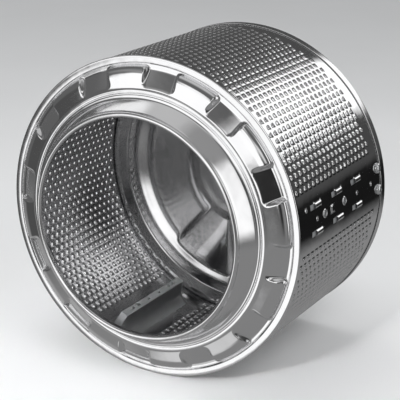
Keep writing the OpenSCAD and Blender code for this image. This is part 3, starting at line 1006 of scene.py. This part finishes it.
# What the metal mirrors: light and dark boards round the drum. Each has its reach in degrees to the
# right of the door's direction and above the horizon, the softness of its edge and its brightness.
BOARDS = (
    (-200, 200, -95, -17, 5, 0.27),
    (-200, 200, 62, 95, 6, 0.60),
    (70, 140, 46, 80, 6, 0.33),
    (-130, -62, -52, -28, 8, 0.42),
    (-68, -41, -27, 8, 4, 0.09),
    (-62, -42, 28, 44, 6, 0.30),
    (-41, -9, -8, 24, 2, 1.30),
    (-44, -14, 25, 38, 4, 0.36),
    (-35, -13, -29, -7, 2, 1.30),
    (-12, 19, -6, 19, 2, 1.35),
    (7, 25, 16, 30, 3, 1.30),
    (-38, -15, -48, -33, 3, 0.75),
    (-20, -6, 18, 34, 2, 1.20),
    (24, 44, -12, 17, 3, 0.03),
    (28, 46, 19, 31, 3, 0.85),
    (14, 32, 35, 50, 4, 1.20),
    (44, 66, -16, 12, 5, 0.26),
    (66, 85, 6, 34, 4, 0.05),
    (87, 122, -12, 44, 4, 1.35),
    (125, 200, -21, -3, 3, 0.01),
    (125, 200, -3, 13, 3, 0.07),
    (142, 178, 14, 46, 2, 1.40),
    (-200, -148, 3, 34, 4, 0.08),
    (-128, -102, 18, 63, 4, 1.10),
)
# How bright the room is between the boards, for what the metal mirrors.
ROOM = 0.14


def studio_world():
    """A pale room for the camera and for plain light, and boards in what the metal mirrors."""
    world = bpy.data.worlds.new("studio")
    bpy.context.scene.world = world
    world.use_nodes = True
    nodes, links = world.node_tree.nodes, world.node_tree.links
    nodes.clear()

    def sum_of(operation, *sources):
        node = nodes.new("ShaderNodeMath")
        node.operation = operation
        for socket, source in zip(node.inputs, sources):
            if isinstance(source, (int, float)):
                socket.default_value = source
            else:
                links.new(source, socket)
        return node.outputs["Value"]

    out = nodes.new("ShaderNodeOutputWorld")
    coords = nodes.new("ShaderNodeTexCoord")
    split = nodes.new("ShaderNodeSeparateXYZ")
    links.new(coords.outputs["Generated"], split.inputs["Vector"])
    front = sum_of("MULTIPLY", split.outputs["Y"], -1.0)
    right = sum_of("DEGREES", sum_of("ARCTAN2", split.outputs["X"], front))
    above = sum_of("DEGREES", sum_of("ARCSINE", split.outputs["Z"]))
    level = None
    for left_end, right_end, low_end, high_end, edge, brightness in BOARDS:
        shares = [spread(nodes, links, right, 0.0, 1.0, left_end - edge, left_end + edge),
                  spread(nodes, links, right, 1.0, 0.0, right_end - edge, right_end + edge),
                  spread(nodes, links, above, 0.0, 1.0, low_end - edge, low_end + edge),
                  spread(nodes, links, above, 1.0, 0.0, high_end - edge, high_end + edge)]
        share = sum_of("MULTIPLY", sum_of("MULTIPLY", *shares[:2]), sum_of("MULTIPLY", *shares[2:]))
        blend = nodes.new("ShaderNodeMix")
        links.new(share, blend.inputs["Factor"])
        if level is None:
            blend.inputs["A"].default_value = ROOM
        else:
            links.new(level, blend.inputs["A"])
        blend.inputs["B"].default_value = brightness
        level = blend.outputs["Result"]
    plain, seen, mirrored = [nodes.new("ShaderNodeBackground") for _ in range(3)]
    plain.inputs["Color"].default_value = (0.62, 0.625, 0.63, 1)
    seen.inputs["Color"].default_value = (0.90, 0.91, 0.92, 1)
    links.new(level, mirrored.inputs["Color"])
    path = nodes.new("ShaderNodeLightPath")
    first, second = nodes.new("ShaderNodeMixShader"), nodes.new("ShaderNodeMixShader")
    links.new(path.outputs["Is Glossy Ray"], first.inputs["Fac"])
    links.new(plain.outputs["Background"], first.inputs[1])
    links.new(mirrored.outputs["Background"], first.inputs[2])
    links.new(path.outputs["Is Camera Ray"], second.inputs["Fac"])
    links.new(first.outputs["Shader"], second.inputs[1])
    links.new(seen.outputs["Background"], second.inputs[2])
    links.new(second.outputs["Shader"], out.inputs["Surface"])


def lamp(name, place, aim, size, power, beam=180):
    """A flat lamp that lights the plain finishes and the floor. It isn't seen in the metal."""
    data = bpy.data.lights.new(name, "AREA")
    data.shape = "RECTANGLE"
    data.size, data.size_y = size
    data.energy = power
    data.spread = math.radians(beam)
    obj = bpy.data.objects.new(name, data)
    bpy.context.scene.collection.objects.link(obj)
    obj.location = place
    obj.rotation_euler = (Vector(aim) - Vector(place)).to_track_quat("-Z", "Y").to_euler()
    obj.visible_glossy = False


# The camera that was fitted to the photograph: its place in metres from the front rim's middle, how far it
# looks down and to the side in degrees, and its lens.
CAMERA_PLACE = (0.9567, -1.5114, 0.6120)
CAMERA_DOWN = 18.02
CAMERA_SIDE = 30.02
CAMERA_LENS = 118.08


def camera():
    data = bpy.data.cameras.new("photo_camera")
    data.sensor_width = 36.0
    data.lens = CAMERA_LENS
    data.clip_start, data.clip_end = 0.05, 50.0
    obj = bpy.data.objects.new("photo_camera", data)
    bpy.context.scene.collection.objects.link(obj)
    obj.location = (CAMERA_PLACE[0], CAMERA_PLACE[1] - ORIGIN * MM, CAMERA_PLACE[2])
    obj.rotation_euler = (math.radians(90 - CAMERA_DOWN), 0.0, math.radians(CAMERA_SIDE))
    bpy.context.scene.camera = obj


def main():
    camera()
    floor()
    studio_world()
    lamp("key_panel", (1.6, -1.2, 1.9), (0, -0.2, 0), (1.4, 0.9), 19)
    lamp("top_panel", (-0.3, -0.1, 2.2), (0, -0.15, 0), (1.6, 1.6), 20)
    lamp("left_panel", (-2.2, -1.3, 0.9), (0, -0.2, 0), (0.7, 1.5), 8)
    lamp("door_panel", (0.1, -2.3, 1.1), (-0.05, -0.3, -0.1), (0.4, 0.4), 0.9, 20)
    front_panel()
    rear_panel()
    perforated_fields()
    for number, angle in enumerate(LIFTERS, 1):
        band_sheet(angle, number)
        lifter(number, angle)
    spider_bolts()
    softened_copy("spider", "spider_cast", 1.2, CASTING, "cast_aluminium")
    carried_over("drum_shaft", GROUND)
    carried_over("seal_sleeve", GROUND)
    bpy.context.scene.view_settings.view_transform = "Standard"


main()
